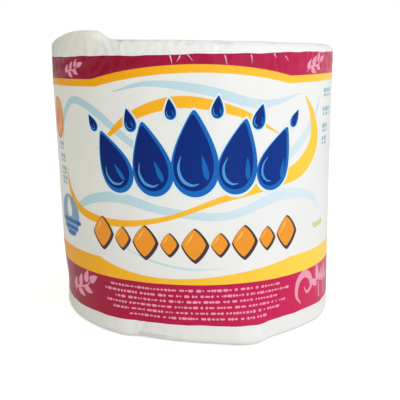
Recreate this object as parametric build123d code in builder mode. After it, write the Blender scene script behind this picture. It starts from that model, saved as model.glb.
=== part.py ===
# Large kitchen towel roll, sealed in printed film and standing on its end.
# The wound paper can't be seen into, so roll and film are one solid. Each end is closed like a parcel:
# the film is gathered in at the two sides, and a back flap and a front flap are folded over the gathers.
# One gather was never pressed flat and stands up as an ear at the top left.
# Sizes are in millimetres. Z is up, the front faces -Y, and the origin is the centre of the base.
# Azimuths are in degrees round the roll, counted from the front towards +X.
import os
from math import cos, exp, pi, radians, sin

from build123d import *

# The roll
roll_height = 225.0
top_radius = 118.0
base_radius = 115.8
lean = -7.9  # how far the top has slipped sideways over the base
top_rim_radius = 6.5
base_rim_radius = 4.5

# Places near the base where the film is drawn flat or puffs out, each with its spread to either side
front_flat_depth = 4.8
front_flat_azimuth = -21.5
front_flat_left = 5.0
front_flat_right = 26.0
back_flat_depth = 4.0
back_flat_spread = 22.0
flat_reach = 30.0  # how far up the wall a flat is felt
corner_out = 8.0
corner_azimuth = 20.8
corner_left = 11.5
corner_right = 7.5
right_puff_out = 2.4
right_puff_azimuth = 62.0
right_puff_left = 9.0
right_puff_right = 12.0
puff_reach = 24.0  # how far up the wall the corner and the puff are felt

# The front, the back and the left are drawn a little flat near the top
top_flat_depth = 2.5
top_flat_spread = 17.0
top_left_flat_depth = 1.5
top_left_flat_azimuth = -92.0
top_left_flat_spread = 28.0
top_flat_reach = 22.0

# The folded ends
fold_step = 0.5  # height of a pressed fold over what it lies on
flap_half_angle = 27.0  # azimuth of a flap's corners at the rim
flap_reach = 38.0  # how far a flap passes the centre
flap_tip_width = 66.0
flap_tip_corner = 9.0
flap_rim_inset = 6.0  # a flap's root lies this far in from the wall
crease_width = 1.6
crease_depth = 0.5
gather_count = 5  # pleats in each side's gather
gather_half_angle = 54.0  # their spread each side of due left or right
gather_rise = 0.45  # at the pleats' inner ends, which lie under the flaps
gather_outer_rise = 0.15
gather_inner_radius = 26.0
gather_rim_inset = 10.0

# The film sinks where it spans the open end of the core
core_dimple_radius = 22.0
core_dimple_depth = 5.0
core_dimple_edge = 5.0

# The ear: a puffed gather that stands above the top rim
ear_height = 7.2
ear_azimuth = -46.0  # its highest place
ear_front_spread = 10.0
ear_front_power = 4.0  # it drops steeply towards the front
ear_rear_spread = 20.0
ear_rear_end = -98.0  # where its two ends run out
ear_front_end = -29.5
ear_depth = 30.0  # from the wall inwards
ear_out = 0.7
ear_sink = 1.0  # how deep its ends are sunk in the rim
ear_crest_inset = 8.5
ear_half_sections = 5  # from its highest place to either end

# The lap seam down the back
seam_width = 17.0
seam_step = 0.5

# How finely the outline and its stack are set out
outline_points = 60
front_bunching = 25.0  # degrees by which the outline's points are drawn towards the front
rim_steps = 4
flat_steps = 5  # levels between a rim and the plain wall
flat_end = 1.6  # the plain wall starts at this many times a flat's reach
bite = 3.0  # how deep an added fold is rooted in the roll


def spread_at(azimuth, centre, left, right):
    """1 at the centre, falling off at its own rate on each side."""
    away = (azimuth - centre + 180.0) % 360.0 - 180.0
    spread = left if away < 0 else right
    return exp(-((away / spread) ** 2))


def wall_radius(azimuth, height):
    """The film's distance from the roll's own axis."""
    front_flat = front_flat_depth * spread_at(azimuth, front_flat_azimuth, front_flat_left, front_flat_right)
    back_flat = back_flat_depth * spread_at(azimuth, 180.0, back_flat_spread, back_flat_spread)
    corner = corner_out * spread_at(azimuth, corner_azimuth, corner_left, corner_right)
    right_puff = right_puff_out * spread_at(azimuth, right_puff_azimuth, right_puff_left, right_puff_right)
    top_flat = top_flat_depth * (
        spread_at(azimuth, 0.0, top_flat_spread, top_flat_spread)
        + spread_at(azimuth, 180.0, top_flat_spread, top_flat_spread)
    )
    top_flat += top_left_flat_depth * spread_at(
        azimuth, top_left_flat_azimuth, top_left_flat_spread, top_left_flat_spread
    )
    radius = base_radius + (top_radius - base_radius) * height / roll_height
    radius -= (front_flat + back_flat) * exp(-((height / flat_reach) ** 2))
    radius += (corner + right_puff) * exp(-((height / puff_reach) ** 2))
    radius -= top_flat * exp(-(((roll_height - height) / top_flat_reach) ** 2))
    return radius


def axis_at(height):
    """Sideways place of the roll's own axis at a height."""
    return lean * height / roll_height


def around(azimuth, radius, height):
    """A point at an azimuth and a distance from the roll's own axis."""
    turn = radians(azimuth)
    return (axis_at(height) + radius * sin(turn), -radius * cos(turn), height)


def outline(height, inset):
    """The closed outline of the film at a height, from the back all the way round."""
    points = []
    for step in range(outline_points):
        turn = 360.0 * step / outline_points
        azimuth = 180.0 + turn + front_bunching * sin(radians(turn))
        x, y, _ = around(azimuth, wall_radius(azimuth, height) - inset, height)
        points.append((x, y))
    return points


def section_levels():
    """Height and inset of each outline: round the base rim, up the wall and round the top rim."""
    low = fold_step
    levels = []
    for step in range(rim_steps + 1):
        turn = 0.5 * pi * step / rim_steps
        levels.append((low + base_rim_radius * (1 - cos(turn)), base_rim_radius * (1 - sin(turn))))
    for step in range(1, flat_steps + 1):
        rise = flat_end * flat_reach * (step / flat_steps) ** 2
        levels.append((low + base_rim_radius + rise, 0.0))
    wall_high = roll_height - top_rim_radius
    for step in range(flat_steps, 0, -1):
        drop = flat_end * top_flat_reach * (step / flat_steps) ** 2
        levels.append((wall_high - drop, 0.0))
    for step in range(rim_steps + 1):
        turn = 0.5 * pi * step / rim_steps
        levels.append((wall_high + top_rim_radius * sin(turn), top_rim_radius * (1 - cos(turn))))
    return levels


def flap_plan(level, towards, grow=0.0):
    """Plan of an end flap, rooted at the rim and narrowing past the centre. The back one is towards 1."""
    root_radius = wall_radius(90.0 + 90.0 * towards, level) - flap_rim_inset + grow
    half_root = root_radius * sin(radians(flap_half_angle)) + grow
    root_y = towards * root_radius * cos(radians(flap_half_angle))
    tip_y = -towards * (flap_reach + grow)
    half_tip = flap_tip_width / 2 + grow
    with BuildSketch(Plane((axis_at(level), 0, level)), mode=Mode.PRIVATE) as plan:
        with BuildLine():
            Polyline((-half_root, root_y), (-half_tip, tip_y), (half_tip, tip_y), (half_root, root_y))
            ThreePointArc((half_root, root_y), (0, towards * root_radius), (-half_root, root_y))
        make_face()
        tip = plan.vertices().group_by(Axis.Y)[0 if towards > 0 else -1]
        fillet(tip, radius=flap_tip_corner)
    return plan.sketch


def pleat_section(azimuth, pitch, radius, rise):
    """Section of a pleat across its length: it steps up at one side and slopes back down over its width."""
    half_width = radius * radians(pitch) / 2
    turn = radians(azimuth)
    outwards = Vector(sin(turn), -cos(turn), 0)
    middle = Vector(axis_at(roll_height), 0, roll_height) + outwards * radius
    with BuildSketch(Plane(middle, x_dir=Vector(0, 0, 1), z_dir=outwards), mode=Mode.PRIVATE) as section:
        with BuildLine():
            Polyline(
                (-bite, -half_width),
                (rise, -half_width),
                (0, half_width),
                (-bite, half_width),
                close=True,
            )
        make_face()
    return section.sketch


def gather(side):
    """The film gathered in at one side of the top: a fan of pleats that thicken towards the middle."""
    pitch = 2 * gather_half_angle / gather_count
    for step in range(gather_count):
        azimuth = side - gather_half_angle + pitch * (step + 0.5)
        outer_radius = wall_radius(azimuth, roll_height) - gather_rim_inset
        outer = pleat_section(azimuth, pitch, outer_radius, gather_outer_rise)
        inner = pleat_section(azimuth, pitch, gather_inner_radius, gather_rise)
        loft([outer, inner], ruled=True)


def ridge_radius(width, rise):
    """Radius of the round that has this rise over this width."""
    return (width * width / 4 + rise * rise) / (2 * rise)


def ear_fullness(azimuth):
    """1 at the ear's highest place; it fades slowly to the rear and drops off to the front."""
    away = azimuth - ear_azimuth
    if away < 0:
        return exp(-((away / ear_rear_spread) ** 2))
    return exp(-((away / ear_front_spread) ** ear_front_power))


def ear_azimuths(end):
    """Where the ear is cut into sections, from one end up to its highest place."""
    return [end + (ear_azimuth - end) * step / ear_half_sections for step in range(ear_half_sections)]


def ear_section(azimuth):
    """Section of the ear in the radial plane at an azimuth; it sinks into the rim towards both ends."""
    fullness = ear_fullness(azimuth)
    wall = wall_radius(azimuth, roll_height - top_rim_radius)
    face = wall - ear_sink + (ear_out + ear_sink) * fullness
    foot = roll_height - ear_sink
    rise = (ear_height + ear_sink) * fullness
    shoulder = 0.55 * top_rim_radius  # the face turns inwards here, below the foot
    root = foot - top_rim_radius - bite
    turn = radians(azimuth)
    outwards = Vector(sin(turn), -cos(turn), 0)
    frame = Plane((axis_at(roll_height), 0, 0), x_dir=outwards, z_dir=outwards.cross(Vector(0, 0, 1)))
    with BuildSketch(frame, mode=Mode.PRIVATE) as section:
        with BuildLine():
            Spline(
                (face, foot - shoulder),
                (face - 0.16 * ear_crest_inset, foot + 0.45 * rise),
                (wall - ear_crest_inset, foot + rise),
                (wall - 0.6 * ear_depth, foot + 0.4 * rise),
                (wall - ear_depth, foot - ear_sink),
                (wall - 0.8 * ear_depth, root),
                (wall - ear_crest_inset, root),
                periodic=True,
            )
        make_face()
    return section.sketch


def seam_section(height, inset):
    """Section of the back lap seam at a height: a thin strip that follows the wall."""
    outer = wall_radius(180.0, height) - inset + seam_step
    half_turn = seam_width / (2 * outer)
    half_width = outer * sin(half_turn)
    outer_edge = outer * cos(half_turn)
    inner_edge = outer_edge - seam_step - bite
    with BuildSketch(Plane((axis_at(height), 0, height)), mode=Mode.PRIVATE) as section:
        with BuildLine():
            ThreePointArc((half_width, outer_edge), (0, outer), (-half_width, outer_edge))
            Polyline(
                (-half_width, outer_edge),
                (-half_width, inner_edge),
                (half_width, inner_edge),
                (half_width, outer_edge),
            )
        make_face()
    return section.sketch


# The side gathers at the top
with BuildPart() as gathers:
    for side in (90.0, 270.0):
        gather(side)

# The ear
with BuildPart() as ear:
    rear = ear_azimuths(ear_rear_end)
    front = ear_azimuths(ear_front_end)
    loft([ear_section(azimuth) for azimuth in [*rear, ear_azimuth, *reversed(front)]])

# The lap seam down the back
with BuildPart() as seam:
    wall_levels = section_levels()[rim_steps:-rim_steps]
    loft([seam_section(height, inset) for height, inset in wall_levels], ruled=True)

with BuildPart() as wrapped_roll:
    # The roll under its film: one wall with a soft rim at each end
    for height, inset in section_levels():
        with BuildSketch(Plane.XY.offset(height)):
            with BuildLine():
                Spline(*outline(height, inset), periodic=True)
            make_face()
    loft(ruled=True)

    # The top: the back flap on the gathers, and the front flap over it
    top_level = roll_height - bite
    extrude(flap_plan(top_level, 1), amount=bite + fold_step)
    extrude(flap_plan(top_level, -1), amount=bite + 2 * fold_step)

    # The base: both flaps pressed to one level, with a crease where the front flap ends
    extrude(flap_plan(0.0, 1), amount=bite)
    extrude(flap_plan(0.0, -1), amount=bite)
    crease = flap_plan(0.0, -1, crease_width / 2) - flap_plan(0.0, -1, -crease_width / 2)
    extrude(crease & flap_plan(0.0, 1), amount=crease_depth, mode=Mode.SUBTRACT)

    # The dimple where the film spans the open core
    dimple_sphere = ridge_radius(2 * core_dimple_radius, core_dimple_depth)
    dimple_top = roll_height + 2 * fold_step
    with Locations((axis_at(roll_height), 0, dimple_top - core_dimple_depth + dimple_sphere)):
        Sphere(dimple_sphere, mode=Mode.SUBTRACT)
    rim = wrapped_roll.edges().filter_by(GeomType.CIRCLE).filter_by_position(
        Axis.Z, dimple_top - 0.01, dimple_top + 0.01
    ).sort_by(lambda edge: abs(edge.radius - core_dimple_radius))[0]
    fillet(rim, radius=core_dimple_edge)

    add([gathers.part, ear.part, seam.part])

wrapped_roll.part.label = "wrapped_roll"

os.makedirs("parts", exist_ok=True)
export_step(wrapped_roll.part, "parts/wrapped_roll.step")
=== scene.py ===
import random
from math import ceil, copysign, cos, degrees, hypot, pi, radians, sin

import bpy
import numpy as np
from mathutils import Matrix, Vector
from mathutils.geometry import delaunay_2d_cdt


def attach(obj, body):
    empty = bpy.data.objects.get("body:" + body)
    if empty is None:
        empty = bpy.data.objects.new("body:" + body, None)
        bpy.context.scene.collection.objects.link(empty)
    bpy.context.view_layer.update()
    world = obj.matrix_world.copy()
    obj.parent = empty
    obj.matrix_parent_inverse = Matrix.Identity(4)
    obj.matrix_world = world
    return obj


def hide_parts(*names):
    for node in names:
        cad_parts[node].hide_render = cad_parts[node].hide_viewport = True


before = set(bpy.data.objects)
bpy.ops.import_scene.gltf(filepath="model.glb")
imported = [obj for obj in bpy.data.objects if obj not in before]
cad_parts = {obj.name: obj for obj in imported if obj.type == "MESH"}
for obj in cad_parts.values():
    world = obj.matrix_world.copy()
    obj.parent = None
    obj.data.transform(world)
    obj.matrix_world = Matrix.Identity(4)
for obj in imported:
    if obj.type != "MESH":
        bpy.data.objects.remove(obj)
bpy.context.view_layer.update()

METRES = 0.001

# The roll, as the frame has it
roll_height = 225.0
top_radius = 118.0
base_radius = 115.8
lean = -7.9  # how far the top has slipped sideways over the base
top_rim_radius = 6.5
base_rim_radius = 4.5
fold_step = 0.5  # height of a pressed fold over what it lies on
core_dimple_radius = 22.0
core_dimple_depth = 5.0

# Paths where the wall meets the base rim, where it meets the top rim, and where the flat top starts
wall_bottom = fold_step + base_rim_radius
wall_top = roll_height - top_rim_radius
cap_start = wall_top + 0.5 * pi * top_rim_radius

# Flats and corners of the wall near its ends: size, azimuth, and spread to the left and to the right
front_flat = (4.8, -21.5, 5.0, 26.0)
back_flat = (4.0, 180.0, 22.0, 22.0)
base_corner = (8.0, 20.8, 11.5, 7.5)
right_puff = (2.4, 62.0, 9.0, 12.0)
top_flats = ((2.5, 0.0, 17.0, 17.0), (2.5, 180.0, 17.0, 17.0), (1.5, -92.0, 28.0, 28.0))
flat_reach = 30.0  # how far up the wall a flat is felt
puff_reach = 24.0  # how far up the wall the corner and the puff are felt
top_flat_reach = 22.0

# The film draws in a little at the left, just above the base
left_tuck = (1.8, -80.0, 28.0, 28.0)
tuck_height = 22.0
tuck_reach = 18.0

# The ear, a puffed gather that stands above the top rim
ear_height = 6.7
ear_azimuth = -46.0
ear_front_spread = 12.2
ear_front_power = 6.0  # it drops steeply towards the front
ear_rear_spread = 20.0
ear_depth = 30.0  # from the wall inwards
ear_out = 0.7
ear_out_reach = 12.0  # it starts to stand out this far below the rim
ear_out_fade = (12.0, 2.0)  # insets between which that sets in
ear_crest_inset = 8.5
ear_face_share = 0.86  # height of its outer face, as a share of its crest's
ear_face_start, ear_face_end = -1.0, 3.2  # that face rises between these paths, from the wall's top
ear_front_turn = 0.64  # degrees by which its front edge draws back for each millimetre inwards

# Share of its small relief that the film loses where it is taut: on the ear, and beside it
ear_calm = 0.55
ear_calm_reach = 6.0
calm_side = (0.62, -70.0, 26.0, 24.0)
calm_side_start, calm_side_end = 26.0, 10.0  # it sets in between these places below the rim

# The small relief fades round the base rim from this height down, and over the top in this reach
hem_start = 7.3
relief_fade = 60.0

# The gathers of the top
gather_half_span = 62.0  # degrees that they spread each side of due left or right
gather_widths = (5.0, 15.0)  # degrees
gather_height = 0.95
gather_least = 0.25  # share of that height at the rim
gather_slant = 3.0  # degrees by which they may run aside on their way in
gather_calm = 0.85  # share that they lose on the ear

# The skin sinks over the open core by a little more than the flaps that cover it
dimple_extra_radius = 6.0
dimple_extra_depth = 1.6

# The lap seam down the back
seam_width = 17.0
seam_step = 0.5
seam_edge = 0.7

# How finely the film is set out
film_columns = 500
base_shares = (0.08, 0.2, 0.35, 0.5, 0.65, 0.8, 0.92)
base_rim_rows = 6
wall_pitch = 2.3  # rows of the plain wall
wrinkled_pitch = 1.2  # rows near the two rims, where the film is wrinkled
plain_wall_low, plain_wall_high = 22.0, 184.0
top_rim_turns = (4, 8, 12, 16, 21, 27, 35, 45, 57, 72, 90)  # degrees
cap_rows = 34
cap_bunching = 1.15  # over 1, the rows of the top bunch towards the rim
print_radius = 118.0  # the print is laid out flat at this radius


def srgb(code):
    """Linear colour of a six-digit web colour."""
    values = [int(code[place : place + 2], 16) / 255 for place in (0, 2, 4)]
    linear = [v / 12.92 if v <= 0.04045 else ((v + 0.055) / 1.055) ** 2.4 for v in values]
    return (*linear, 1.0)


def smoothstep(low, high, value):
    """0 at low and 1 at high, with a soft start and end."""
    share = np.clip((value - low) / (high - low), 0.0, 1.0)
    return share * share * (3 - 2 * share)


def root_of(value):
    """Square root that takes what is below 0 as 0."""
    return max(value, 0.0) ** 0.5


# Shape of the roll

def turned(angle):
    """The same angle, between -180 and 180 degrees."""
    return (angle + 180.0) % 360.0 - 180.0


def spread_at(azimuth, centre, left, right):
    """1 at the centre, falling off at its own rate on each side."""
    away = turned(azimuth - centre)
    return np.exp(-((away / np.where(away < 0, left, right)) ** 2))


def bulge(azimuth, place):
    """How much of a flat or a corner is felt at an azimuth."""
    size, centre, left, right = place
    return size * spread_at(azimuth, centre, left, right)


def wall_radius(azimuth, height):
    """The film's distance from the roll's own axis."""
    flats = bulge(azimuth, front_flat) + bulge(azimuth, back_flat)
    puffs = bulge(azimuth, base_corner) + bulge(azimuth, right_puff)
    top_flat = sum(bulge(azimuth, place) for place in top_flats)
    radius = base_radius + (top_radius - base_radius) * height / roll_height
    radius = radius - flats * np.exp(-((height / flat_reach) ** 2))
    radius = radius + puffs * np.exp(-((height / puff_reach) ** 2))
    return radius - top_flat * np.exp(-(((roll_height - height) / top_flat_reach) ** 2))


def axis_at(height):
    """Sideways place of the roll's own axis at a height."""
    return lean * height / roll_height


def ear_fullness(azimuth):
    """1 at the ear's highest place; it fades slowly to the rear and drops off to the front."""
    away = turned(azimuth - ear_azimuth)
    rear = np.exp(-((away / ear_rear_spread) ** 2))
    front = np.exp(-((np.abs(away) / ear_front_spread) ** ear_front_power))
    return np.where(away < 0, rear, front)


def film_rows():
    """Rows of the film's grid, from the middle of the base up the wall to the middle of the top.
    Each has its path, its height, its inset from the wall and its share of what is left."""
    rows = []
    for share in base_shares:
        rows.append((-base_radius * (1 - share), fold_step, base_rim_radius, share))
    for step in range(base_rim_rows + 1):
        turn = 0.5 * pi * step / base_rim_rows
        height = fold_step + base_rim_radius * (1 - cos(turn))
        inset = base_rim_radius * (1 - sin(turn))
        path = fold_step + base_rim_radius * (1 - 0.5 * pi + turn)
        rows.append((path, height, inset, 1.0))
    stops = (wall_bottom, plain_wall_low, plain_wall_high, wall_top)
    for start, end, pitch in zip(stops, stops[1:], (wrinkled_pitch, wall_pitch, wrinkled_pitch)):
        steps = ceil((end - start) / pitch)
        for step in range(1, steps + 1):
            height = start + (end - start) * step / steps
            rows.append((height, height, 0.0, 1.0))
    for turn in map(radians, top_rim_turns):
        height = wall_top + top_rim_radius * sin(turn)
        inset = top_rim_radius * (1 - cos(turn))
        rows.append((wall_top + top_rim_radius * turn, height, inset, 1.0))
    for step in range(1, cap_rows):
        share = 1 - (step / cap_rows) ** cap_bunching
        path = cap_start + (top_radius - top_rim_radius) * (1 - share)
        rows.append((path, roll_height, top_rim_radius, share))
    return np.array(rows)


row_path, row_height, row_inset, row_share = film_rows().T
column_azimuth = -180.0 + 360.0 * np.arange(film_columns) / film_columns
azimuth_grid, path_grid = np.meshgrid(column_azimuth, row_path)


# Wrinkles of the film

# Sets of waves: seed, how many, fewest and most turns round the roll, least and most length up the wall
broad_waves = (3, 9, 4, 16, 60.0, 160.0)
small_waves = (5, 9, 14, 40, 25.0, 70.0)
wall_crumple = (7, 5, 6, 20, 40.0, 110.0)
top_crumple = (8, 6, 12, 44, 14.0, 44.0)
base_crumple = (9, 6, 10, 40, 14.0, 44.0)

# Paths between which the crumple of each end sets in
crumpled_top, crumpled_base = (196.0, 214.0), (20.0, 8.0)

# A crease's groove, as shares of its ridge's height and width
groove_depth, groove_offset = 0.7, 1.5

# Creases at the places where the photograph shows them: azimuth, path, length, tilt, width and height.
# The first run down from the top rim, where the film is drawn in, and the last four rise near the base.
placed_creases = (
    (-6.4, 212, 15, 2, 1.1, 0.45),
    (-3.6, 211, 12, -18, 1, 0.4),
    (0.4, 214, 17, -14, 1.2, 0.4),
    (12.3, 210, 20, -7, 1.2, 0.5),
    (14, 208, 16, -4, 1, 0.4),
    (21.3, 211, 15, 3, 1.1, 0.4),
    (25.2, 210, 20, 5, 1.3, 0.5),
    (31, 212, 16, 0, 1.1, 0.35),
    (36.4, 210, 18, -5, 1.2, 0.45),
    (17, 208.5, 18, 9, 1.8, 0.7),
    (27, 206.5, 22, 16, 1.7, 1.1),
    (31.5, 204, 18, -24, 1.6, 1),
    (34, 209, 14, 38, 1.5, 0.8),
    (-24, 212, 30, -9, 1.6, 0.8),
    (-30.5, 220, 24, -32, 1.8, 0.9),
    (-11, 219, 12, 8, 1.8, 0.5),
    (0.6, 199, 11, -35, 1, 0.3),
    (-23.1, 9.5, 22, 23, 1.7, 1.4),
    (-21.2, 32, 36, 0, 1.2, 0.35),
    (23, 8, 14, 14, 2, 0.7),
    (27.5, 10, 16, -12, 1.6, 0.5),
)

# Small creases at random places: how many, and the range of each value, drawn in this order. They lie
# round the top rim, above the base and, fainter, all over the wall.
scattered_creases = (
    (130, {"azimuth": (-180, 180), "length": (10, 26), "path": (wall_top - 8, wall_top + 6),
           "tilt": (-16, 16), "width": (0.9, 2.0), "height": (0.12, 0.5)}),
    (60, {"azimuth": (-180, 180), "path": (2, 9), "length": (8, 20),
          "tilt": (-16, 16), "width": (1.0, 2.2), "height": (0.08, 0.3)}),
    (46, {"azimuth": (-180, 180), "path": (30, 200), "length": (14, 50),
          "tilt": (-60, 60), "width": (1.2, 3.0), "height": (0.05, 0.16)}),
)


def crease(azimuth, path, length, tilt, width, height):
    """A straight ridge about the place given. It fades to its ends and has a groove at its right."""
    across = np.radians(turned(azimuth_grid - azimuth)) * print_radius
    along = path_grid - path
    turn = radians(tilt)
    side = across * cos(turn) - along * sin(turn)
    run = across * sin(turn) + along * cos(turn)
    near = np.clip(1 - (2 * run / length) ** 2, 0, None) ** 1.5
    ridge = np.exp(-((side / width) ** 2))
    groove = np.exp(-(((side - groove_offset * width) / width) ** 2))
    return height * near * (ridge - groove_depth * groove)


def soft_waves(seed, count, low_turns, high_turns, low_length, high_length):
    """Broad shallow waves, the same each run, that close round the roll."""
    pick = random.Random(seed)
    total = np.zeros_like(azimuth_grid)
    for _ in range(count):
        turns = pick.randint(low_turns, high_turns)
        rise = 2 * pi / pick.uniform(low_length, high_length) * pick.choice((-1, 1))
        phase = pick.uniform(0, 2 * pi)
        total += np.sin(np.radians(azimuth_grid) * turns + path_grid * rise + phase)
    return total / count ** 0.5


def crumple(*waves):
    """Sharp-edged facets, as thin film takes when it is crushed."""
    return 0.7 - np.abs(soft_waves(*waves))


def wall_relief():
    """How far the film stands out from the plain shape."""
    relief = 0.16 * soft_waves(*broad_waves) + 0.05 * soft_waves(*small_waves)
    relief += 0.10 * crumple(*wall_crumple)
    relief -= bulge(azimuth_grid, left_tuck) * np.exp(-(((path_grid - tuck_height) / tuck_reach) ** 2))
    relief += 0.42 * crumple(*top_crumple) * smoothstep(*crumpled_top, path_grid)
    relief += 0.26 * crumple(*base_crumple) * smoothstep(*crumpled_base, path_grid)
    for place in placed_creases:
        relief += crease(*place)
    pick = random.Random(11)
    for count, ranges in scattered_creases:
        for _ in range(count):
            relief += crease(**{name: pick.uniform(*ends) for name, ends in ranges.items()})

    # The lap seam fades over both ends
    half_seam = degrees(seam_width / 2 / print_radius)
    edge = degrees(seam_edge / print_radius)
    away = 180.0 - np.abs(azimuth_grid)
    on_wall = smoothstep(cap_start + 14, cap_start, path_grid) * smoothstep(-6, 4, path_grid)
    relief += seam_step * (1 - smoothstep(half_seam - edge, half_seam + edge, away)) * on_wall
    return relief


def pleats():
    """Height of the gathers on the top: film folded on itself in long steps towards the middle."""
    pick = random.Random(23)
    total = np.zeros_like(azimuth_grid)
    inward = np.clip((path_grid - cap_start) / (top_radius - top_rim_radius), 0, 1)
    growth = smoothstep(-0.06, 0.25, inward) * (gather_least + (1 - gather_least) * inward)
    for side in (90.0, -90.0):
        place = side - gather_half_span
        while place < side + gather_half_span:
            pitch = pick.uniform(*gather_widths)
            away = turned(azimuth_grid - place - gather_slant * inward * pick.uniform(-1, 1))
            share = np.clip(away / pitch, 0, 1)
            step = np.where((away >= 0) & (away < pitch), 1 - share, 0.0)
            total += pick.uniform(0.45, 1.0) * step
            place += pitch * pick.uniform(0.75, 1.0)
    return gather_height * total * growth * np.where(path_grid > wall_top, 1, 0)


def film_points():
    """Every point of the film's grid."""
    plain_height, rim_inset, share = (values[:, None] for values in (row_height, row_inset, row_share))
    radius = (wall_radius(azimuth_grid, plain_height) - rim_inset) * share
    inset = wall_radius(azimuth_grid, roll_height) - radius
    past_crest = np.clip(inset - ear_crest_inset, 0, ear_depth)
    fullness = ear_fullness(azimuth_grid + ear_front_turn * past_crest * (path_grid > wall_top))

    # The small relief stands out sideways on the wall and upwards on the top, and fades over both ends
    near_rim = smoothstep(wall_top - ear_calm_reach, wall_top, path_grid)
    beside_ear = smoothstep(wall_top - calm_side_start, wall_top - calm_side_end, path_grid)
    relief = wall_relief() * (1 - ear_calm * fullness * near_rim)
    relief = relief * (1 - bulge(azimuth_grid, calm_side) * beside_ear)
    rim_turn = np.clip((path_grid - wall_top) / top_rim_radius, 0, 0.5 * pi)
    base_turn = np.clip((hem_start - path_grid) / base_rim_radius, 0, 0.5 * pi)
    on_base = path_grid < wall_bottom - 0.5 * pi * base_rim_radius
    relief = np.where(on_base, 0.0, relief) * smoothstep(cap_start + relief_fade, cap_start, path_grid)

    # The ear stands up from the wall, turns in at its crest and falls to the top
    rising = smoothstep(wall_top + ear_face_start, wall_top + ear_face_end, path_grid)
    falling = smoothstep(ear_depth, ear_crest_inset, inset)
    face = ear_face_share + (1 - ear_face_share) * smoothstep(0.0, ear_crest_inset, inset)
    ear_lift = ear_height * face * fullness * np.where(inset < ear_crest_inset, rising, falling)
    ear_push = ear_out * fullness * smoothstep(wall_top - ear_out_reach, wall_top, path_grid)
    radius = radius + ear_push * smoothstep(*ear_out_fade, inset)
    radius = radius + relief * np.cos(rim_turn) * np.cos(base_turn)
    height = plain_height + ear_lift + relief * np.sin(rim_turn) + pleats() * (1 - gather_calm * fullness)

    # The top sinks over the open core
    sunk = np.clip(1 - (radius / (core_dimple_radius + dimple_extra_radius)) ** 2, 0, None)
    height = height - np.where(path_grid > cap_start, (core_dimple_depth + dimple_extra_depth) * sunk, 0.0)
    turn = np.radians(azimuth_grid)
    x = axis_at(height) + radius * np.sin(turn)
    return np.stack([x, -radius * np.cos(turn), height], axis=-1)


def grid_normals(points):
    """Smooth normals of a grid that closes round its columns."""
    along = np.roll(points, -1, axis=1) - np.roll(points, 1, axis=1)
    up = np.gradient(points, axis=0)
    normals = np.cross(along, up)
    return normals / np.linalg.norm(normals, axis=-1, keepdims=True)


film_grid = film_points()
film_normals = grid_normals(film_grid)


# Materials

def fill(tree, node, inputs):
    """Gives a node its inputs. Each is a value or another node's output."""
    for name, value in inputs.items():
        if isinstance(value, bpy.types.NodeSocket):
            tree.links.new(value, node.inputs[name])
        else:
            node.inputs[name].default_value = value


def add_node(tree, kind, inputs, **settings):
    """A new node of a kind. Gives back its outputs."""
    node = tree.nodes.new("ShaderNode" + kind)
    for name, value in settings.items():
        setattr(node, name, value)
    fill(tree, node, inputs)
    return node.outputs


def add_noise(tree, vector, scale, detail, distortion=0.0):
    """A noise over a place, from 0 to 1."""
    inputs = {"Vector": vector, "Scale": scale, "Detail": detail, "Distortion": distortion}
    return add_node(tree, "TexNoise", inputs)["Fac"]


def mix_colours(tree, share, first, second):
    """Goes from one colour to another as share goes from 0 to 1."""
    return add_node(tree, "Mix", {"Factor": share, "A": first, "B": second}, data_type="RGBA")["Result"]


def new_material(name):
    """A material with its node tree and its shader."""
    material = bpy.data.materials.new(name)
    material.use_nodes = True
    tree = material.node_tree
    return material, tree, tree.nodes["Principled BSDF"]


def add_film(tree, shader, place, colour, gloss):
    """Thin film of a colour: small crinkles, and a soft sheen with a sharper glint over it."""
    stretched = add_node(tree, "Mapping", {"Vector": place, "Scale": (1.0, 1.0, 0.45)})["Vector"]
    coarse = add_noise(tree, stretched, 90.0, 3.0, 0.4)
    fine = add_noise(tree, place, 420.0, 2.0)
    crinkled = add_node(tree, "Bump", {"Height": coarse, "Strength": 0.35, "Distance": 0.0012})["Normal"]
    grain = {"Height": fine, "Strength": 0.18, "Distance": 0.0003, "Normal": crinkled}
    look = {
        "Base Color": colour,
        "Normal": add_node(tree, "Bump", grain)["Normal"],
        "Roughness": 0.32,
        "Specular IOR Level": gloss,
        "Coat Weight": gloss,
        "Coat Roughness": 0.12,
    }
    fill(tree, shader, look)


def film_material():
    """White film over white paper. On the ear, where it stands off the paper, it is a little warmer: painted
    shade of the hollow.
    """
    material, tree, shader = new_material("film_white")
    place = add_node(tree, "TexCoord", {})["Object"]
    mottle = mix_colours(tree, add_noise(tree, place, 22.0, 2.0), srgb("eff0f0"), srgb("e6e8e8"))
    hollow_shade = add_node(tree, "Attribute", {}, attribute_name="hollow_shade")["Fac"]
    # Painted shade: the film turns a little warmer on the ear
    add_film(tree, shader, place, mix_colours(tree, hollow_shade, mottle, srgb("efeee6")), 0.22)
    return material


def add_painted_light(tree, place, colour, code):
    """Painted light: a colour turns to a lighter one towards the lit right side of the roll, and as a
    painted sheen towards its base.
    """
    split = add_node(tree, "SeparateXYZ", {"Vector": place})
    sideways = add_node(tree, "Math", {0: split["X"], 1: 4.6, 2: 0.68}, operation="MULTIPLY_ADD")
    falling = {0: split["Z"], 1: -1.9, 2: sideways["Value"]}
    share = add_node(tree, "Math", falling, operation="MULTIPLY_ADD", use_clamp=True)["Value"]
    return mix_colours(tree, share, colour, srgb(code))


def ink_material(name, code, other_code, gloss=0.22, painted_light_code=None):
    """Printed ink on the film, a little uneven, and also the painted glints' colour. Some inks get painted
    light: lighter towards the right and the base.
    """
    material, tree, shader = new_material(name)
    place = add_node(tree, "TexCoord", {})["Object"]
    colour = mix_colours(tree, add_noise(tree, place, 30.0, 3.0), srgb(code), srgb(other_code))
    if painted_light_code:
        colour = add_painted_light(tree, place, colour, painted_light_code)
    add_film(tree, shader, place, colour, gloss)
    return material


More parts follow.
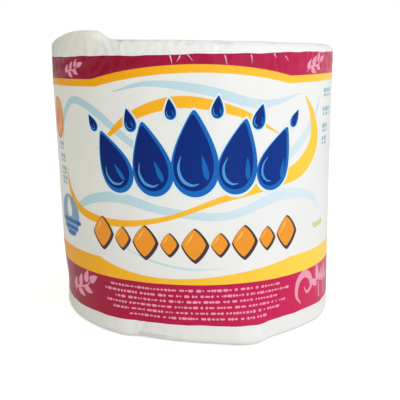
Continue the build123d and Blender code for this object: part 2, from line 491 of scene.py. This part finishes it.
film_white = film_material()
# Magenta, gold, pale blue and navy end with a lighter colour, painted light towards the right and the base
magenta_ink = ink_material("ink_magenta", "90002a", "980434", 0.18, "cc1054")
gold_ink = ink_material("ink_gold", "f4a400", "f8ae08", 0.10, "fdd64c")
pale_blue_ink = ink_material("ink_pale_blue", "abd0e0", "b8d9e6", 0.22, "dbeaf3")
navy_ink = ink_material("ink_navy", "001660", "001e70", 0.08, "083a96")
bright_blue_ink = ink_material("ink_bright_blue", "0460b6", "0e6cc0", 0.12)
haze_ink = ink_material("ink_haze", "82b4cc", "90bed4")
steel_ink = ink_material("ink_steel", "7296bc", "82a4c6")
rust_ink = ink_material("ink_rust", "d2552a", "da6234")
light_orange_ink = ink_material("ink_light_orange", "f8be5c", "fac668")
sky_ink = ink_material("ink_sky", "3f93d6", "52a3df", 0.15)
glow_ink = ink_material("ink_glow", "d6eaf4", "deeff6")
orange_ink = ink_material("ink_orange", "ec9016", "f09b26")
dark_ink = ink_material("ink_dark", "3a2a2c", "46343a")
pink_ink = ink_material("ink_pink", "e892b2", "eda2bd")
green_ink = ink_material("ink_green", "c9d286", "d2da98")
# Pale pink for the painted glints, highlights painted as streaks on the creases below the top rim
painted_glint_ink = ink_material("painted_glint", "dc9cb4", "e4b0c2")


# Meshes

def make_piece(name, points, faces, material, normals=None):
    """A mesh piece from points in millimetres. It rides on the roll's only body."""
    mesh = bpy.data.meshes.new(name)
    mesh.from_pydata((np.asarray(points) * METRES).tolist(), [], faces)
    mesh.materials.append(material)
    mesh.polygons.foreach_set("use_smooth", [True] * len(mesh.polygons))
    if normals is not None:
        mesh.normals_split_custom_set_from_vertices(np.asarray(normals).tolist())
    piece = bpy.data.objects.new(name, mesh)
    bpy.context.scene.collection.objects.link(piece)
    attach(piece, "root")
    return piece


def make_film():
    """The film as one closed skin. One attribute of its points says where shade is painted: on the ear,
    where it stands off the paper.
    """
    points = film_grid.reshape(-1, 3)
    base_middle, top_middle = len(points), len(points) + 1
    points = np.concatenate([points, [film_grid[0].mean(axis=0), film_grid[-1].mean(axis=0)]])
    last = (len(row_path) - 1) * film_columns
    faces = []
    for row_start in range(0, last, film_columns):
        for column in range(film_columns):
            here, right = row_start + column, row_start + (column + 1) % film_columns
            above, across = here + film_columns, right + film_columns
            faces += [(here, right, across), (here, across, above)]
    for column in range(film_columns):
        after = (column + 1) % film_columns
        faces.append((base_middle, after, column))
        faces.append((top_middle, last + column, last + after))
    film = make_piece("film", points, faces, film_white)
    # Where shade is painted on the ear: near the rim and over the hollow behind it
    inset = top_radius - np.hypot(film_grid[..., 0] - axis_at(roll_height), film_grid[..., 1])
    shade = ear_fullness(azimuth_grid) * smoothstep(wall_top - 6, wall_top + 2, path_grid)
    shade = shade * smoothstep(1.4 * ear_depth, 0.6 * ear_depth, inset)
    hollow_shade = film.data.attributes.new("hollow_shade", "FLOAT", "POINT")
    hollow_shade.data.foreach_set("value", np.concatenate([shade.reshape(-1), [0.0, 0.0]]))
    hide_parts("wrapped_roll")


make_film()


# Print: flat shapes laid on the film. A point of a shape is (distance round from the front, height)
# at the print's radius. The printed web sits slightly askew on the roll.
skew_heights = (0.0, 50.0, 200.0, roll_height)
skew_rises = (1.2, 1.5, 4.0, 4.2)
domain_pitch = 2 * pi * print_radius / film_columns
domain_left = -pi * print_radius

# How far the layers of the print lie off the film, from the lowest to the highest
blue_ribbon_lift = 0.04
band_lift = 0.05
gold_ribbon_lift = 0.065
badge_lift = 0.07
mark_lift = 0.09
bar_lift = 0.10
lozenge_edge_lift = 0.11
drop_rim_lift = 0.115
body_lift = 0.14
light_lift = 0.17
# The painted glints lie highest, laid like one more layer of the print
painted_glint_lift = 0.2

# Shapes of one layer that may cross lie this far apart, in so many steps
layer_step, layer_count = 0.003, 8


def askew(point):
    """A point of the print at its place on the roll."""
    around, height = point
    rise = float(np.interp(height, skew_heights, skew_rises))
    return (around, height + rise * sin(around / print_radius))


def anticlockwise(ring):
    """The same ring, turned round if it runs clockwise."""
    area = sum(a[0] * b[1] - b[0] * a[1] for a, b in zip(ring, ring[1:] + ring[:1]))
    return ring if area > 0 else ring[::-1]


def on_film(around, path, lift):
    """The film's surface at a place of the flat layout, and its normal there."""
    column_place = (around - domain_left) / domain_pitch
    column = int(min(max(column_place, 0), film_columns - 1e-6))
    across = column_place - column
    row = int(np.searchsorted(row_path, path, side="right")) - 1
    row = min(max(row, 0), len(row_path) - 2)
    up = (path - row_path[row]) / (row_path[row + 1] - row_path[row])
    after = (column + 1) % film_columns
    corners = ((row, column), (row, after), (row + 1, after), (row + 1, column))
    if across >= up:
        weights = (1 - across, across - up, up, 0.0)
    else:
        weights = (1 - up, 0.0, across, up - across)
    point = sum(weight * film_grid[corner] for weight, corner in zip(weights, corners))
    normal = sum(weight * film_normals[corner] for weight, corner in zip(weights, corners))
    normal = normal / np.linalg.norm(normal)
    return point + lift * normal, normal


def film_edges(outline):
    """The film's own grid lines in an outline's box, so that the print bends where the film does."""
    xs, ys = zip(*outline)
    first = max(0, int((min(xs) - domain_left) / domain_pitch) - 1)
    last = min(film_columns, ceil((max(xs) - domain_left) / domain_pitch) + 1)
    low = max(0, int(np.searchsorted(row_path, min(ys))) - 2)
    high = min(len(row_path) - 1, int(np.searchsorted(row_path, max(ys))) + 1)
    width = last - first + 1
    points = [
        (domain_left + column * domain_pitch, float(row_path[row]))
        for row in range(low, high + 1)
        for column in range(first, last + 1)
    ]
    edges = []
    for row in range(high - low + 1):
        for column in range(width):
            here = row * width + column
            if column + 1 < width:
                edges.append((here, here + 1))
            if row < high - low:
                edges.append((here, here + width))
                if column + 1 < width:
                    edges.append((here, here + width + 1))
    return points, edges


def lay_print(name, outlines, material, lift, holes=()):
    """Lays outlines on the film as one piece, less any holes. Those that cross lie a hair apart."""
    all_points, all_normals, all_faces = [], [], []
    for order, outline in enumerate(outlines):
        own_lift = lift + layer_step * (order % layer_count)
        rings = [anticlockwise([askew(point) for point in ring]) for ring in (outline, *holes)]
        points, edges = film_edges(rings[0])
        rounds = []
        for ring in rings:
            rounds.append(list(range(len(points), len(points) + len(ring))))
            points.extend(ring)
        result = delaunay_2d_cdt([Vector(p) for p in points], edges, rounds, 0, 1e-4, True)
        flat, faces, origins = result[0], result[2], result[5]
        kept = [
            face
            for face, origin in zip(faces, origins)
            if 0 in origin and not any(hole in origin for hole in range(1, len(rings)))
        ]
        used = sorted({vertex for face in kept for vertex in face})
        place = {vertex: len(all_points) + index for index, vertex in enumerate(used)}
        for vertex in used:
            point, normal = on_film(flat[vertex].x, flat[vertex].y, own_lift)
            all_points.append(point)
            all_normals.append(normal)
        for face in kept:
            a, b, c = (flat[vertex] for vertex in face)
            turn = (b - a).cross(c - a)
            face = face if turn > 0 else face[::-1]
            all_faces.append([place[vertex] for vertex in face])
    make_piece(name, all_points, all_faces, material, all_normals)


# Outlines of the print

def band(lower, upper):
    """A band round the film between two edges, each a height at an azimuth. It stays open at the back."""
    count, opening = 240, 0.01
    azimuths = [-180 + 360 * place / count for place in range(count + 1)]
    azimuths[0] += opening
    azimuths[-1] -= opening
    low = [(radians(a) * print_radius, lower(a)) for a in azimuths]
    high = [(radians(a) * print_radius, upper(a)) for a in reversed(azimuths)]
    return low + high


def smooth_line(points, steps=10):
    """A smooth line through points, with any further values carried along."""
    knots = [np.array(p, float) for p in points]
    knots = [2 * knots[0] - knots[1], *knots, 2 * knots[-1] - knots[-2]]
    line = []
    for a, b, c, d in zip(knots, knots[1:], knots[2:], knots[3:]):
        slope, bend, twist = c - a, 2 * a - 5 * b + 4 * c - d, 3 * b - a - 3 * c + d
        for step in range(steps):
            t = step / steps
            line.append(0.5 * (2 * b + slope * t + bend * t * t + twist * t ** 3))
    line.append(knots[-2])
    return line


def ribbon(points):
    """A swelling stroke through (around, height, width) points."""
    line = smooth_line(points)
    left, right = [], []
    for place, (x, y, width) in enumerate(line):
        before = line[max(0, place - 1)]
        after = line[min(len(line) - 1, place + 1)]
        dx, dy = after[0] - before[0], after[1] - before[1]
        run = hypot(dx, dy)
        half = max(width, 0.15) / 2
        left.append((x - dy / run * half, y + dx / run * half))
        right.append((x + dy / run * half, y - dx / run * half))
    return left + right[::-1]


def placed(shape, x, y, turn_degrees=0.0, size=1.0):
    """A shape about its own middle, turned, sized and moved to a place."""
    turn = radians(turn_degrees)
    return [
        (x + size * (px * cos(turn) - py * sin(turn)), y + size * (px * sin(turn) + py * cos(turn)))
        for px, py in shape
    ]


def drop(width, length, steps=56):
    """A water drop, round below and pointed above."""
    shape = []
    for step in range(steps):
        t = 2 * pi * step / steps
        y = -cos(t) * length / 2
        share = y / length + 0.5
        shape.append((0.62 * width * sin(t) * (1 - 0.72 * share ** 1.4), y))
    return shape


def oval(width, height, steps=40, power=1.0):
    """An oval. As its power goes from 1 to 2, its sides flatten to a diamond's."""
    shape = []
    for step in range(steps):
        t = 2 * pi * step / steps
        x = 0.5 * width * copysign(abs(cos(t)) ** power, cos(t))
        y = 0.5 * height * copysign(abs(sin(t)) ** power, sin(t))
        shape.append((x, y))
    return shape


def lozenge(width, height):
    """A diamond with soft corners and slightly rounded sides."""
    return oval(width, height, steps=44, power=1.55)


def dash(length, height):
    """A bar with round ends."""
    half, radius = max(length / 2 - height / 2, 0.0), height / 2
    shape = []
    for side, start in ((1, -90), (-1, 90)):
        for step in range(7):
            turn = radians(start + 30 * step)
            shape.append((side * half + radius * cos(turn), radius * sin(turn)))
    return shape


def arch(height, rise, left, right, peak=0.5, left_power=2.0, right_power=2.0):
    """A level edge with a rise, or a dip, between two azimuths. peak is its place as a share of the way."""
    centre = left + peak * (right - left)

    def edge(azimuth):
        half, power = (centre - left, left_power) if azimuth < centre else (right - centre, right_power)
        away = abs(azimuth - centre) / half
        return height + (rise * (1 - away ** power) if away < 1 else 0.0)

    return edge


def level(height, waver=0.0):
    """A level edge. waver is how far the film's wrinkles carry it up and down."""
    def edge(azimuth):
        turn = radians(azimuth)
        waves = 0.5 * sin(9 * turn + 1.0) + 0.35 * sin(23 * turn + 0.4) + 0.25 * sin(41 * turn)
        return height + waver * waves

    return edge


# Edges of the bands, at the azimuths where the photograph shows them
top_magenta_edge = level(215.6, 0.45)
top_magenta_lower = arch(199.0, 9.8, -38.2, 38.2)
top_gold_lower = arch(193.6, 9.4, -36.5, 37.5)
base_gold_upper = arch(62.8, -10.3, -39.0, 40.0, 0.39, 2.2, 1.6)
base_magenta_upper = level(48.1)
base_magenta_edge = level(15.5, 0.4)


def print_bands():
    """The magenta bands at both ends and the gold ones beside them."""
    magenta = [band(top_magenta_lower, top_magenta_edge), band(base_magenta_edge, base_magenta_upper)]
    gold = [band(top_gold_lower, top_magenta_lower), band(base_magenta_upper, base_gold_upper)]
    lay_print("print_magenta", magenta, magenta_ink, band_lift)
    lay_print("print_gold", gold, gold_ink, band_lift)


def print_painted_glints():
    """Painted highlights: pale pink-white glints that run down from the top rim over its creases."""
    # First azimuth and height, last azimuth and height, and width at the top
    lines = (
        (-6.9, 215.3, -6.2, 209.0, 1.3),
        (-3.4, 214.9, -4.6, 210.6, 1.2),
        (-0.9, 215.6, 0.9, 211.0, 1.0),
        (12.0, 214.5, 12.7, 206.5, 1.2),
        (21.2, 214.6, 21.6, 208.5, 1.1),
        (30.5, 214.9, 31.2, 211.6, 1.6),
        (35.5, 213.0, 36.8, 209.0, 1.0),
    )
    glints = []
    for first, high, last, low, width in lines:
        middle = radians(0.6 * first + 0.4 * last) * print_radius + 0.25
        points = (
            (radians(first) * print_radius, high, width),
            (middle, 0.6 * high + 0.4 * low, 0.7 * width),
            (radians(last) * print_radius, low, 0.15),
        )
        glints.append(ribbon(points))
    lay_print("painted_glints", glints, painted_glint_ink, painted_glint_lift)


def print_ribbons():
    """Long swelling ribbons that cross the white of the front. Their points are listed one by one."""
    pale_blue = (
        [(-126, 150, 0.4), (-120, 170, 4.0), (-104, 183, 5.5), (-78, 176, 6.0), (-40, 150, 5.0),
         (0, 132, 4.0), (46, 128, 6.0), (86, 146, 7.0), (110, 168, 5.0), (120, 184, 0.6)],
        [(-118, 84, 0.5), (-96, 104, 6.0), (-60, 112, 8.0), (-20, 104, 6.0), (24, 100, 6.0),
         (70, 112, 8.0), (104, 108, 6.0), (124, 92, 0.5)],
        [(-60, 190, 0.4), (-30, 196, 4.0), (10, 191, 6.5), (52, 180, 6.0), (90, 186, 0.5)],
        [(-60, 76, 0.3), (-34, 66, 1.5), (-6, 60.5, 1.8), (24, 60.5, 0.3)],
    )
    gold = (
        [(-121, 128, 0.4), (-116, 110, 5.0), (-98, 96, 6.5), (-62, 92, 5.5), (-22, 98, 3.6),
         (20, 112, 4.6), (62, 122, 8.5), (92, 131, 13.0), (109, 148, 12.0), (107, 168, 7.0), (96, 184, 0.6)],
        [(-76, 148, 0.5), (-46, 172, 6.5), (-8, 183, 8.5), (34, 175, 6.0), (68, 158, 0.5)],
    )
    lay_print("print_ribbons_blue", map(ribbon, pale_blue), pale_blue_ink, blue_ribbon_lift)
    lay_print("print_ribbons_gold", map(ribbon, gold), gold_ink, gold_ribbon_lift)


def print_splash():
    """A splash of big drops over the ribbons, and small ones between them."""
    # Each drop's place, turn and size
    drops = (
        (-62, 139, 24.0, 0.84), (-31, 142, 11.0, 0.95), (2, 146, 0.0, 1.08), (35, 143, -11.0, 0.95),
        (66, 140, -24.0, 0.84), (-46, 170, 14.0, 0.30), (-15, 178, 5.0, 0.26), (19, 179, -6.0, 0.28),
        (51, 171, -16.0, 0.32), (-80, 167, 30.0, 0.24), (84, 168, -32.0, 0.24),
    )
    width, length = 33, 58
    halo_width, halo_length = 2.8, 3.8  # the halo is as wide round a small drop as round a big one
    halos = [
        placed(drop(width + halo_width / size, length + halo_length / size), x, y, turn, size)
        for x, y, turn, size in drops
    ]
    lay_print("print_drop_halos", halos, glow_ink, mark_lift)
    gleam_line = ribbon(
        [(-8.5, -2, 0.4), (-10.2, -10, 1.7), (-7.5, -18, 2.3), (-1.5, -21.5, 1.6), (3.5, -20.5, 0.4)]
    )
    # Each further layer's name and outline, its shift and turn on the drop, its ink and its lift
    for name, outline, right, up, aside, ink, lift in (
        ("print_drop_rims", drop(width, length), 0, 0, 0, bright_blue_ink, drop_rim_lift),
        ("print_drops", drop(27.5, 51), -1.0, 0.6, 0, navy_ink, body_lift),
        ("print_drop_shine", drop(4.0, 17), 6.5, -9, 12, bright_blue_ink, light_lift),
        ("print_drop_gleam", gleam_line, -1.0, 0.6, 0, sky_ink, light_lift),
    ):
        layer = [
            placed(outline, x + right * size, y + up * size, turn + aside, size)
            for x, y, turn, size in drops
        ]
        lay_print(name, layer, ink, lift)


def print_lozenges():
    """A shallow arc of lozenges under the splash, big and small by turns."""
    count, half_span, lowest, sag = 9, 76, 79, 4.5
    places = []
    for place in range(count):
        share = 2 * place / (count - 1) - 1
        places.append((half_span * share, lowest + sag * share * share, 0.7 if place % 2 else 1.0))
    light_line = ribbon([(-6.6, -0.4, 0.2), (-4.2, 2.6, 0.9), (-2.2, 5.6, 1.2), (-0.5, 8.6, 0.2)])
    # Each layer's name and outline, its shift to the lower right, its ink and its lift
    for name, outline, shift, ink, lift in (
        ("print_lozenge_edges", lozenge(21, 27), 0.9, dark_ink, lozenge_edge_lift),
        ("print_lozenges", lozenge(17.5, 23), 0.0, orange_ink, body_lift),
        ("print_lozenge_lights", light_line, 0.0, light_orange_ink, light_lift),
    ):
        layer = [placed(outline, x + shift, y - shift, 0, size) for x, y, size in places]
        lay_print(name, layer, ink, lift)


# A branch that lies on its side, and three drops on a short stem: each part's shape, place and turn
leaf = drop(4.4, 8.4)
branch = (
    (ribbon([(-12, -2, 0.3), (-5, 0.6, 1.2), (4, -0.6, 1.3), (12, 2, 0.3)]), 0, 0, 0),
    (leaf, -7.5, 3.0, -45), (leaf, -2.5, -3.2, -130), (leaf, 0.5, 3.8, -45),
    (leaf, 6.0, -2.8, -125), (leaf, 8.0, 4.8, -45), (leaf, 14.0, 2.4, -80),
)
sprig = (
    (drop(5.5, 12), 0, 6, 0), (drop(4.5, 10), -6, 2, 48), (drop(4.5, 10), 6, 2, -48),
    (dash(10, 1.3), 0, -6, 80),
)


def print_pink_marks():
    """Branches, sprigs and a curl on the magenta, and rows of short bars round the front of the base."""
    pink = []
    for twig, x, y, size, turn in (
        (branch, -103, 205.5, 0.9, 10), (branch, 108, 205.5, 1.0, 12), (branch, -108, 32, 1.45, 20),
        (sprig, 122, 34, 1.35, 12), (sprig, 138, 32, 1.1, -8),
    ):
        for shape, part_x, part_y, part_turn in twig:
            place = placed([(part_x, part_y)], x, y, turn, size)[0]
            pink.append(placed(shape, *place, turn + part_turn, size))
    curl = [(95, 21, 0.6), (89, 29, 3.2), (91, 40, 5.0), (99, 45, 6.4), (107, 41, 5.4), (109, 33, 3.6),
            (103, 29, 2.2), (99, 34, 0.6)]
    pink.append(ribbon(curl))
    pick = random.Random(41)
    top_row, row_pitch = 43.5, 4.5
    for line, half in enumerate((70, 76, 66, 74, 68, 54)):
        x = -half
        while x < half:
            length = pick.choice((1.3, 1.9, 2.7, 4.0))
            bar = dash(length, pick.choice((1.4, 1.8, 2.1)))
            pink.append(placed(bar, x + length / 2, top_row - row_pitch * line))
            x += length + pick.choice((0.75, 0.75, 0.75, 2.2))
    lay_print("print_pink", pink, pink_ink, mark_lift)


def print_side_marks():
    """Marks near the two sides: a berry and a badge at the left, leaves at the right and groups of bars."""
    lay_print("print_side_rust", [placed(oval(27, 34), -136.5, 167.5)], rust_ink, badge_lift)
    berry, notch = placed(oval(23, 30), -135.5, 168.5), placed(drop(6.5, 16), -137, 169.5, -20)
    lay_print("print_side_orange", [berry], orange_ink, mark_lift, [notch])
    badge, window = placed(oval(35, 35), -123, 89), placed(drop(11, 17), -123, 96)
    lay_print("print_side_steel", [badge], steel_ink, badge_lift, [window])
    bars = [placed(dash(length, 3.4), -121, y) for y, length in ((84.5, 36), (79, 26), (74.2, 15))]
    lay_print("print_side_blue", bars, bright_blue_ink, bar_lift)
    haze = []
    # A group's height, start and bar lengths. Under each bar is a shorter, thinner one
    for height, start, lengths in (
        (184.8, 127, (5.6, 4.2, 6.0)), (170.4, 125, (4.2, 7.0, 4.0)),
        (157.6, 124, (6.0, 4.4)), (147.8, 123.5, (4.0, 6.4)),
        (145.5, -138.5, (4.6, 6.0)), (135.5, -137.0, (6.4, 5.0)),
        (125.5, -136.5, (4.6, 7.2)), (117.5, -134.5, (6.0, 4.0)),
    ):
        for length in lengths:
            haze.append(placed(dash(length, 3.6), start + length / 2, height + 1.4))
            haze.append(placed(dash(0.8 * length, 2.2), start + length / 2, height - 2.4))
            start += length + 1.4
    lay_print("print_side_haze", haze, haze_ink, mark_lift)
    green = [placed(drop(4.5, 9), 114 + 5.5 * step, 82, 70 + 20 * step) for step in range(3)]
    lay_print("print_side_green", green, green_ink, mark_lift)


print_bands()
print_painted_glints()
print_ribbons()
print_splash()
print_lozenges()
print_pink_marks()
print_side_marks()


# The end flaps: sheets of the same film, folded over the gathers
flap_half_angle = 27.0  # azimuth of a flap's corners at the rim
flap_reach = 38.0  # how far a flap passes the centre
flap_tip_width = 66.0
flap_tip_corner, flap_tip_round = 9.0, 0.9  # its tip's corners, and how far they are rounded
flap_root_inset = 1.2  # a flap's root lies this far in from the wall
flap_step_reach = 38.0  # it has risen to its full step this far in
flap_dimple_margin = 4.0  # it sinks over the core and this far round it
flap_rows, flap_columns = 90, 64
flap_edge_width = 0.3  # its folded edges slope down over this width
top_edge_drop, base_edge_drop = 0.55, -0.2  # how far these edges sink


def flap_plan(towards, end_height):
    """Plan of a flap, from its root at the rim to its tip past the centre. The back one is towards 1."""
    root = float(wall_radius(np.array(90.0 + 90.0 * towards), end_height)) - flap_root_inset
    root_y = towards * root * cos(radians(flap_half_angle))
    tip_y = -towards * flap_reach
    half_root = root * sin(radians(flap_half_angle))
    length = abs(tip_y - root_y)
    plan = []
    for i in range(flap_rows + 1):
        share = i / flap_rows
        corner_share = max(0.0, share - 1 + flap_tip_corner / length) * length / flap_tip_corner
        half = half_root + (flap_tip_width / 2 - half_root) * share
        half -= flap_tip_corner * (1 - root_of(1 - corner_share ** 2)) * flap_tip_round
        row = []
        for j in range(flap_columns + 1):
            side = 2 * j / flap_columns - 1
            bow = root_of(root ** 2 - (side * half_root) ** 2) - abs(root_y)
            start = root_y + towards * bow
            row.append((side * half, start + (tip_y - start) * share))
        plan.append(row)
    return np.moveaxis(np.array(plan), -1, 0)


def flap_wrinkles(seed, x, y):
    """Low waves and sharp creases of a sheet that was pressed flat."""
    pick = random.Random(seed)
    wrinkles = np.zeros_like(x)
    for _ in range(14):
        wave_x, wave_y, phase = pick.uniform(-0.35, 0.35), pick.uniform(-0.12, 0.12), pick.uniform(0, 6.28)
        wrinkles += 0.045 * np.sin(wave_x * x + wave_y * y + phase)
    for _ in range(16):
        turn = pick.uniform(-0.9, 0.9)
        offset = pick.uniform(-45, 45)
        side = x * cos(turn) + y * sin(turn) - offset
        run = y * cos(turn) - x * sin(turn) - pick.uniform(-70, 70)
        near = np.clip(1 - (run / pick.uniform(20, 70)) ** 2, 0, None)
        wrinkles += pick.uniform(0.1, 0.35) * near * np.exp(-((side / pick.uniform(0.8, 1.8)) ** 2))
    return wrinkles


def make_flap(name, towards, up, step, seed=None):
    """A flap as a thin sheet: its root bends round the rim, and its sides and tip are folded edges.
    up is whether it lies on the top, step how far it stands off, and seed a top one's wrinkles."""
    end_height = roll_height if up else 0.0
    rim = top_rim_radius if up else base_rim_radius
    x, y = flap_plan(towards, end_height)
    radius = np.hypot(x, y)
    azimuth = np.degrees(np.arctan2(x, -y))
    inset = wall_radius(azimuth, end_height) - radius
    rounding = rim - np.sqrt(np.clip(rim ** 2 - np.clip(rim - inset, 0, rim) ** 2, 0, None))
    lift = step * smoothstep(0.0, flap_step_reach, inset)
    if up:
        wrinkles = flap_wrinkles(seed, x, y) * smoothstep(0.0, 12.0, inset)
        # It sinks over the core, in eleven faint spokes
        sunk = np.clip(1 - (radius / (core_dimple_radius + flap_dimple_margin)) ** 2, 0, None)
        spokes = 1 + 0.1 * np.cos(np.radians(azimuth) * 11)
        z = roll_height - rounding + lift + wrinkles - core_dimple_depth * 1.1 * sunk ** 0.9 * spokes
    else:
        z = fold_step + rounding - lift

    edge_drop = top_edge_drop if up else base_edge_drop
    skin = np.stack([x + axis_at(end_height), y, z], axis=-1)
    edges = []
    for column, outwards in ((slice(0, 1), -1), (slice(-1, None), 1)):
        edge = skin[:, column].copy()
        edge[..., 0] += outwards * flap_edge_width
        edge[..., 2] -= edge_drop * smoothstep(2.0, 10.0, inset[:, column])
        edges.append(edge)
    sheet = np.concatenate([edges[0], skin, edges[1]], axis=1)
    tip = sheet[-1:].copy()
    tip[..., 1] -= towards * flap_edge_width
    tip[..., 2] -= edge_drop
    sheet = np.concatenate([sheet, tip], axis=0)

    row_count, column_count = sheet.shape[:2]
    flip = (towards > 0) == up
    faces = []
    for i in range(row_count - 1):
        for j in range(column_count - 1):
            a = i * column_count + j
            face = (a, a + 1, a + column_count + 1, a + column_count)
            faces.append(face[::-1] if flip else face)
    make_piece(name, sheet.reshape(-1, 3), faces, film_white)


make_flap("flap_top_back", 1, up=True, step=0.3, seed=65)
make_flap("flap_top_front", -1, up=True, step=0.6, seed=66)
make_flap("flap_base_back", 1, up=False, step=0.6)
make_flap("flap_base_front", -1, up=False, step=fold_step)


# The floor, the light and the camera

def make_floor():
    """A pale floor that keeps the roll's shadow and glows to near white for the camera alone."""
    bpy.ops.mesh.primitive_plane_add(size=8.0, location=(0, 0, -0.0002))
    floor = bpy.context.object
    floor.name = "floor"
    material, tree, shader = new_material("floor_white")
    fill(tree, shader, {"Base Color": (0.86, 0.86, 0.86, 1), "Roughness": 0.9, "Specular IOR Level": 0.0})
    seen = add_node(tree, "LightPath", {})["Is Camera Ray"]
    strength = add_node(tree, "Math", {0: seen, 1: 0.52}, operation="MULTIPLY")["Value"]
    glow = add_node(tree, "Emission", {"Strength": strength})["Emission"]
    both = add_node(tree, "AddShader", {0: shader.outputs["BSDF"], 1: glow})["Shader"]
    tree.links.new(both, tree.nodes["Material Output"].inputs["Surface"])
    floor.data.materials.append(material)


def make_world():
    """Soft light, warmer and dimmer from the left. The gloss mirrors a dark left and a bright right,
    and the camera sees plain white."""
    world = bpy.data.worlds.new("studio")
    world.use_nodes = True
    bpy.context.scene.world = world
    tree = world.node_tree
    place = add_node(tree, "TexCoord", {})["Generated"]
    sideways = add_node(tree, "SeparateXYZ", {"Vector": place})["X"]
    across = add_node(tree, "MapRange", {"Value": sideways, "From Min": -1.0, "From Max": 1.0})["Result"]
    sides = tree.nodes.new("ShaderNodeValToRGB")
    tree.links.new(across, sides.inputs["Fac"])
    stops = sides.color_ramp.elements
    stops[0].color = (0.71, 0.67, 0.46, 1)
    stops[1].color = (0.91, 0.91, 0.91, 1)
    stops.new(0.4).color = (0.71, 0.71, 0.69, 1)
    mirrored = mix_colours(tree, across, (0.02, 0.02, 0.02, 1), (1.1, 1.1, 1.1, 1))
    seen = add_node(tree, "LightPath", {})
    colour = mix_colours(tree, seen["Is Glossy Ray"], sides.outputs["Color"], mirrored)
    ambient = tree.nodes["Background"]
    fill(tree, ambient, {"Color": colour, "Strength": 1.0})
    white = add_node(tree, "Background", {"Color": (1, 1, 1, 1)})["Background"]
    rays = {0: seen["Is Camera Ray"], 1: seen["Is Transmission Ray"]}
    through = add_node(tree, "Math", rays, operation="MAXIMUM")["Value"]
    lights = {"Fac": through, 1: ambient.outputs["Background"], 2: white}
    chosen = add_node(tree, "MixShader", lights)["Shader"]
    tree.links.new(chosen, tree.nodes["World Output"].inputs["Surface"])


def make_lamp(name, place, width, height, power, mirrored):
    """A rectangular lamp aimed at the roll's middle. mirrored is whether the film's gloss shows it."""
    lamp = bpy.data.lights.new(name, "AREA")
    lamp.shape = "RECTANGLE"
    lamp.size = width
    lamp.size_y = height
    lamp.energy = power
    holder = bpy.data.objects.new(name, lamp)
    holder.location = place
    holder.visible_glossy = mirrored
    aim = Vector((0, 0, 0.11)) - Vector(place)
    holder.rotation_euler = aim.to_track_quat("-Z", "Y").to_euler()
    bpy.context.scene.collection.objects.link(holder)


def make_camera():
    """The photograph's camera: a short way off, near the top's height, looking slightly down."""
    camera = bpy.data.cameras.new("camera")
    camera.lens = 63.0
    camera.sensor_width = 36.0
    distance, height = 0.61065, 0.21656
    pitch, roll, yaw = 0.207, -0.0162, 0.0021
    side = Vector((cos(yaw), -sin(yaw), 0))
    ahead = Vector((sin(yaw), cos(yaw), 0))
    level_up = ahead * sin(pitch) + Vector((0, 0, cos(pitch)))
    forward = ahead * cos(pitch) - Vector((0, 0, sin(pitch)))
    right = side * cos(roll) - level_up * sin(roll)
    up = side * sin(roll) + level_up * cos(roll)
    holder = bpy.data.objects.new("camera", camera)
    turn = Matrix((right, up, -forward)).transposed()
    holder.matrix_world = Matrix.Translation((0, -distance, height)) @ turn.to_4x4()
    bpy.context.scene.collection.objects.link(holder)
    bpy.context.scene.camera = holder


make_floor()
make_world()
make_lamp("key", (0.60, -1.08, 0.38), 0.7, 1.0, power=3.5, mirrored=False)
make_lamp("glint", (0.62, -0.80, 0.68), 0.12, 0.30, power=1.3, mirrored=True)
make_camera()
bpy.context.scene.view_settings.view_transform = "Standard"
